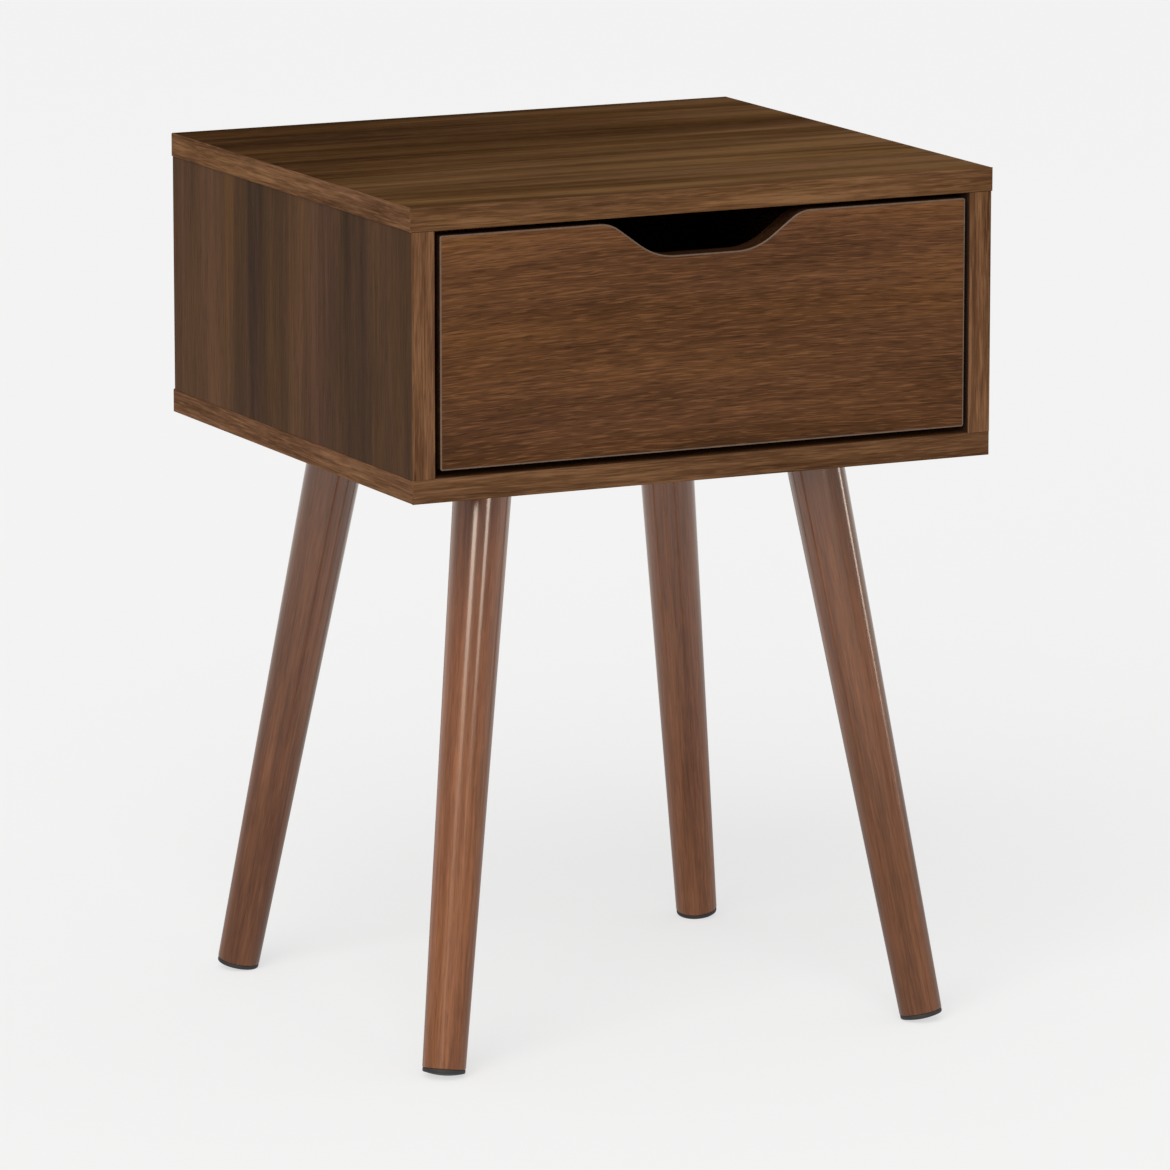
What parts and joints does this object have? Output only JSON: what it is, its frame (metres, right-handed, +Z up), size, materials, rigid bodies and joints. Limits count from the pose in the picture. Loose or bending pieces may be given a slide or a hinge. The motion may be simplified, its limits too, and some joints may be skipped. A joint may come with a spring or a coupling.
{
  "type": "nightstand",
  "caption": "Nightstand: a laminated box with an inset pull-out drawer on roller runners, a finger cut-out, and splayed tapered legs.",
  "frame": {"origin": "on the floor, under the middle of the cabinet's outline", "axes": "+Z up; the drawer faces -Y and pulls out along -Y; +X to the right of someone who faces the drawer"},
  "size_m": [0.4, 0.37, 0.549],
  "materials": {
    "walnut_laminate": "matt printed walnut laminate with fine grain",
    "walnut_edge_band": "matt walnut edge band",
    "hardboard": "smooth brown hardboard",
    "dowel_wood": "raw beech",
    "leg_wood": "satin lacquered walnut-stained wood",
    "zinc_plated_steel": "zinc plated",
    "coated_runner_steel": "off-white powder coat",
    "nylon_roller": "natural nylon",
    "soft_black_pad": "matt black"
  },
  "bodies": {
    "cabinet": {"top_panel": "walnut_laminate", "bottom_panel": "walnut_laminate", "left_side_panel": "walnut_laminate", "right_side_panel": "walnut_laminate", "back_panel": "hardboard", "top_panel_bands": "walnut_edge_band", "bottom_panel_bands": "walnut_edge_band", "left_side_band": "walnut_edge_band", "right_side_band": "walnut_edge_band", "cabinet_dowels": "dowel_wood", "cabinet_cams": "zinc_plated_steel", "cabinet_cam_bolts": "zinc_plated_steel", "bottom_panel_screws": "zinc_plated_steel", "back_panel_screws": "zinc_plated_steel", "left_cabinet_runner": "coated_runner_steel", "right_cabinet_runner": "coated_runner_steel", "cabinet_runner_screws": "zinc_plated_steel", "cabinet_roller_pins": "zinc_plated_steel", "front_left_leg_plate": "zinc_plated_steel", "front_right_leg_plate": "zinc_plated_steel", "back_left_leg_plate": "zinc_plated_steel", "back_right_leg_plate": "zinc_plated_steel", "front_left_leg": "leg_wood", "front_right_leg": "leg_wood", "back_left_leg": "leg_wood", "back_right_leg": "leg_wood", "front_left_foot_pad": "soft_black_pad", "front_right_foot_pad": "soft_black_pad", "back_left_foot_pad": "soft_black_pad", "back_right_foot_pad": "soft_black_pad", "leg_plate_screws": "zinc_plated_steel", "leg_bolts": "zinc_plated_steel", "foot_pad_nails": "zinc_plated_steel"},
    "drawer": {"drawer_front": "walnut_laminate", "drawer_front_band": "walnut_edge_band", "drawer_left_side": "walnut_laminate", "drawer_right_side": "walnut_laminate", "drawer_back": "walnut_laminate", "drawer_bottom": "hardboard", "drawer_dowels": "dowel_wood", "drawer_cams": "zinc_plated_steel", "drawer_cam_bolts": "zinc_plated_steel", "drawer_back_screws": "zinc_plated_steel", "drawer_bottom_screws": "zinc_plated_steel", "left_drawer_runner": "coated_runner_steel", "right_drawer_runner": "coated_runner_steel", "drawer_runner_screws": "zinc_plated_steel", "drawer_roller_pins": "zinc_plated_steel"},
    "left_front_roller": {"left_front_roller": "nylon_roller"},
    "right_front_roller": {"right_front_roller": "nylon_roller"},
    "left_rear_roller": {"left_rear_roller": "nylon_roller"},
    "right_rear_roller": {"right_rear_roller": "nylon_roller"}
  },
  "joints": [
    {"name": "drawer_slide", "type": "slide", "parent": "cabinet", "child": "drawer", "axis": [0, -1, 0], "range_m": [0, 0.25]},
    {"name": "left_front_roller_spin", "type": "hinge", "parent": "cabinet", "child": "left_front_roller", "pos_m": [-0.17775, -0.156, 0.403], "axis": [1, 0, 0], "range_deg": [0, 2205]},
    {"name": "left_rear_roller_spin", "type": "hinge", "parent": "drawer", "child": "left_rear_roller", "pos_m": [-0.17775, 0.15, 0.403], "axis": [1, 0, 0], "range_deg": [0, 1861]},
    {"name": "right_front_roller_spin", "type": "hinge", "parent": "cabinet", "child": "right_front_roller", "pos_m": [0.17775, -0.156, 0.403], "axis": [1, 0, 0], "range_deg": [0, 2205]},
    {"name": "right_rear_roller_spin", "type": "hinge", "parent": "drawer", "child": "right_rear_roller", "pos_m": [0.17775, 0.15, 0.403], "axis": [1, 0, 0], "range_deg": [0, 1861]}
  ],
  "couplings": [
    {"joint": "left_front_roller_spin", "follows": "drawer_slide", "rad_per_m": 153.85},
    {"joint": "left_rear_roller_spin", "follows": "drawer_slide", "rad_per_m": 129.87},
    {"joint": "right_front_roller_spin", "follows": "drawer_slide", "rad_per_m": 153.85},
    {"joint": "right_rear_roller_spin", "follows": "drawer_slide", "rad_per_m": 129.87}
  ]
}
